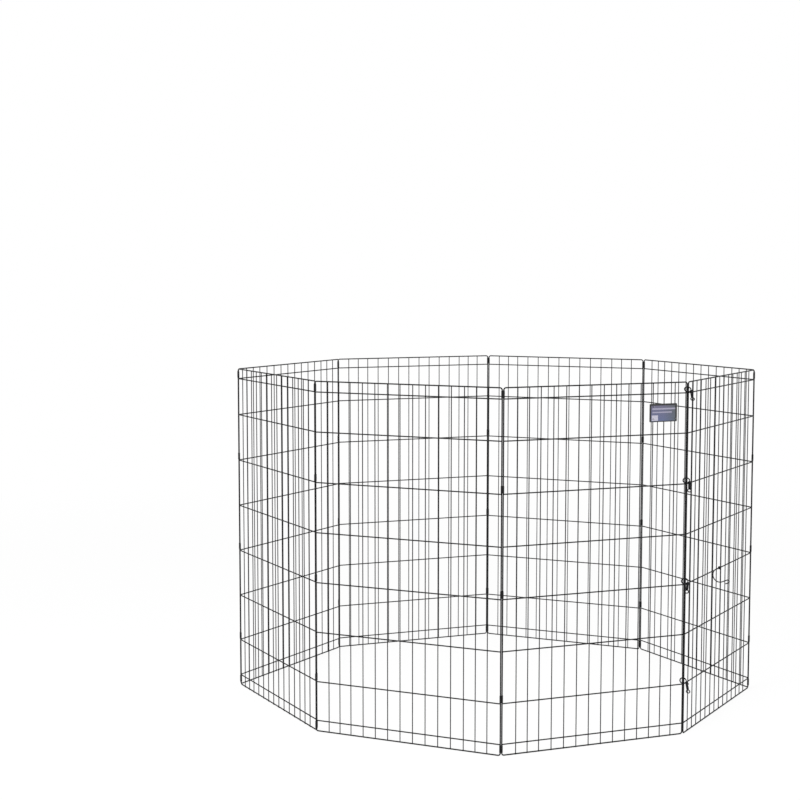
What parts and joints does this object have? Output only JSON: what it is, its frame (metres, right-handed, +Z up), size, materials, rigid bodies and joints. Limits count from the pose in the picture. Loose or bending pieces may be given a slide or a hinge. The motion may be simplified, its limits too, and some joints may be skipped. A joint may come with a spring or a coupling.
{
  "type": "pet playpen",
  "caption": "Folding pet playpen: welded wire panels hinged by rolled steel clips into an open ring, closed at one corner by spring-bolt swivel snaps, with a hanging wire hook.",
  "frame": {"origin": "on the floor, at the middle of the ring", "axes": "+Z up; -Y towards the picture's viewer; +X to the viewer's right"},
  "size_m": [1.7054, 1.506, 1.0668],
  "materials": {
    "coat": "satin black coating over steel wire",
    "snap_metal": "dull plated zinc casting",
    "spring_steel": "bright spring wire",
    "card": "printed card under a gloss film"
  },
  "bodies": {
    "panel_front_right": {"panel_front_right": "coat", "label_card": "card", "label_ties": "coat"},
    "panel_front_left": {"panel_front_left": "coat", "clips_front": "coat"},
    "panel_left_front": {"panel_left_front": "coat", "clips_front_left": "coat"},
    "panel_left_back": {"panel_left_back": "coat", "clips_left": "coat", "clips_back_left": "coat"},
    "panel_back_left": {"panel_back_left": "coat", "clips_back": "coat"},
    "panel_back_right": {"panel_back_right": "coat", "clips_back_right": "coat"},
    "panel_right_back": {"panel_right_back": "coat", "clips_right": "coat"},
    "panel_gate": {"panel_gate": "coat"},
    "snap_top_hook": {"snap_top_hook": "snap_metal", "snap_top_spring": "spring_steel"},
    "snap_top_bolt": {"snap_top_bolt": "snap_metal"},
    "snap_top_eye": {"snap_top_eye": "snap_metal"},
    "snap_upper_hook": {"snap_upper_hook": "snap_metal", "snap_upper_spring": "spring_steel"},
    "snap_upper_bolt": {"snap_upper_bolt": "snap_metal"},
    "snap_upper_eye": {"snap_upper_eye": "snap_metal"},
    "snap_lower_hook": {"snap_lower_hook": "snap_metal", "snap_lower_spring": "spring_steel"},
    "snap_lower_bolt": {"snap_lower_bolt": "snap_metal"},
    "snap_lower_eye": {"snap_lower_eye": "snap_metal"},
    "snap_bottom_hook": {"snap_bottom_hook": "snap_metal", "snap_bottom_spring": "spring_steel"},
    "snap_bottom_bolt": {"snap_bottom_bolt": "snap_metal"},
    "snap_bottom_eye": {"snap_bottom_eye": "snap_metal"},
    "wire_hook": {"wire_hook": "coat"}
  },
  "joints": [
    {"name": "fold", "type": "hinge", "parent": "panel_left_back", "child": "panel_back_left", "pos_m": [-0.55421, 0.52244, 0.5334], "axis": [0, 0, 1], "range_deg": [0, 213.5]},
    {"name": "panel_back_right_turn", "type": "hinge", "parent": "panel_back_left", "child": "panel_back_right", "pos_m": [-0.00007, 0.74766, 0.5334], "axis": [0, 0, 1], "range_deg": [-131.01, 0]},
    {"name": "panel_right_back_turn", "type": "hinge", "parent": "panel_back_right", "child": "panel_right_back", "pos_m": [0.55406, 0.52244, 0.5334], "axis": [0, 0, 1], "range_deg": [0, 213.69]},
    {"name": "panel_left_front_turn", "type": "hinge", "parent": "panel_left_back", "child": "panel_left_front", "pos_m": [-0.84805, -0.00244, 0.5334], "axis": [0, 0, 1], "range_deg": [0, 116.01]},
    {"name": "panel_front_left_turn", "type": "hinge", "parent": "panel_left_front", "child": "panel_front_left", "pos_m": [-0.55243, -0.52244, 0.5334], "axis": [0, 0, 1], "range_deg": [-213.51, 0]},
    {"name": "panel_front_right_turn", "type": "hinge", "parent": "panel_front_left", "child": "panel_front_right", "pos_m": [0.00171, -0.74766, 0.5334], "axis": [0, 0, 1], "range_deg": [0, 131.01]},
    {"name": "gate", "type": "hinge", "parent": "panel_right_back", "child": "panel_gate", "pos_m": [0.84803, 0.00151, 0.5334], "axis": [0, 0, -1], "range_deg": [-135.28, 116.72]},
    {"name": "snap_top_swing", "type": "hinge", "parent": "panel_front_right", "child": "snap_top_hook", "pos_m": [0.55123, -0.52004, 1.0428], "axis": [0, 0, 1], "range_deg": [-2, 6]},
    {"name": "snap_top_bolt_slide", "type": "slide", "parent": "snap_top_hook", "child": "snap_top_bolt", "axis": [0.0394, -0.6935, -0.7193], "range_m": [0, 0.005], "stiffness_N_per_m": 200, "springref_m": -0.002, "deforming": ["snap_top_spring"]},
    {"name": "snap_top_swivel", "type": "hinge", "parent": "snap_top_hook", "child": "snap_top_eye", "pos_m": [0.56377, -0.53611, 1.02367], "axis": [0.0394, -0.6935, -0.7193], "continuous": true},
    {"name": "snap_upper_swing", "type": "hinge", "parent": "panel_front_right", "child": "snap_upper_hook", "pos_m": [0.55123, -0.52004, 0.77114], "axis": [0, 0, 1], "range_deg": [-2, 6]},
    {"name": "snap_upper_bolt_slide", "type": "slide", "parent": "snap_upper_hook", "child": "snap_upper_bolt", "axis": [-0.1057, -0.6866, -0.7193], "range_m": [0, 0.005], "stiffness_N_per_m": 200, "springref_m": -0.002, "deforming": ["snap_upper_spring"]},
    {"name": "snap_upper_swivel", "type": "hinge", "parent": "snap_upper_hook", "child": "snap_upper_eye", "pos_m": [0.55981, -0.53789, 0.75201], "axis": [-0.1057, -0.6866, -0.7193], "continuous": true},
    {"name": "snap_lower_swing", "type": "hinge", "parent": "panel_front_right", "child": "snap_lower_hook", "pos_m": [0.55123, -0.52004, 0.46749], "axis": [0, 0, 1], "range_deg": [-2, 6]},
    {"name": "snap_lower_bolt_slide", "type": "slide", "parent": "snap_lower_hook", "child": "snap_lower_bolt", "axis": [-0.1769, -0.6718, -0.7193], "range_m": [0, 0.005], "stiffness_N_per_m": 200, "springref_m": -0.002, "deforming": ["snap_lower_spring"]},
    {"name": "snap_lower_swivel", "type": "hinge", "parent": "snap_lower_hook", "child": "snap_lower_eye", "pos_m": [0.55772, -0.53846, 0.44835], "axis": [-0.1769, -0.6718, -0.7193], "continuous": true},
    {"name": "snap_bottom_swing", "type": "hinge", "parent": "panel_front_right", "child": "snap_bottom_hook", "pos_m": [0.55123, -0.52004, 0.16383], "axis": [0, 0, 1], "range_deg": [-2, 6]},
    {"name": "snap_bottom_bolt_slide", "type": "slide", "parent": "snap_bottom_hook", "child": "snap_bottom_bolt", "axis": [0.0636, -0.6917, -0.7193], "range_m": [0, 0.005], "stiffness_N_per_m": 200, "springref_m": -0.002, "deforming": ["snap_bottom_spring"]},
    {"name": "snap_bottom_swivel", "type": "hinge", "parent": "snap_bottom_hook", "child": "snap_bottom_eye", "pos_m": [0.56439, -0.53573, 0.14469], "axis": [0.0636, -0.6917, -0.7193], "continuous": true},
    {"name": "wire_hook_swing", "type": "hinge", "parent": "panel_gate", "child": "wire_hook", "pos_m": [0.70174, -0.25742, 0.45749], "axis": [-0.4919, -0.8706, 0], "range_deg": [-80, 80]}
  ],
  "couplings": [
    {"joint": "panel_back_right_turn", "follows": "fold", "ratio": -0.61358},
    {"joint": "panel_right_back_turn", "follows": "fold", "ratio": 1.0009},
    {"joint": "panel_left_front_turn", "follows": "fold", "ratio": 0.54333},
    {"joint": "panel_front_left_turn", "follows": "fold", "ratio": -1},
    {"joint": "panel_front_right_turn", "follows": "fold", "ratio": 0.61358}
  ]
}
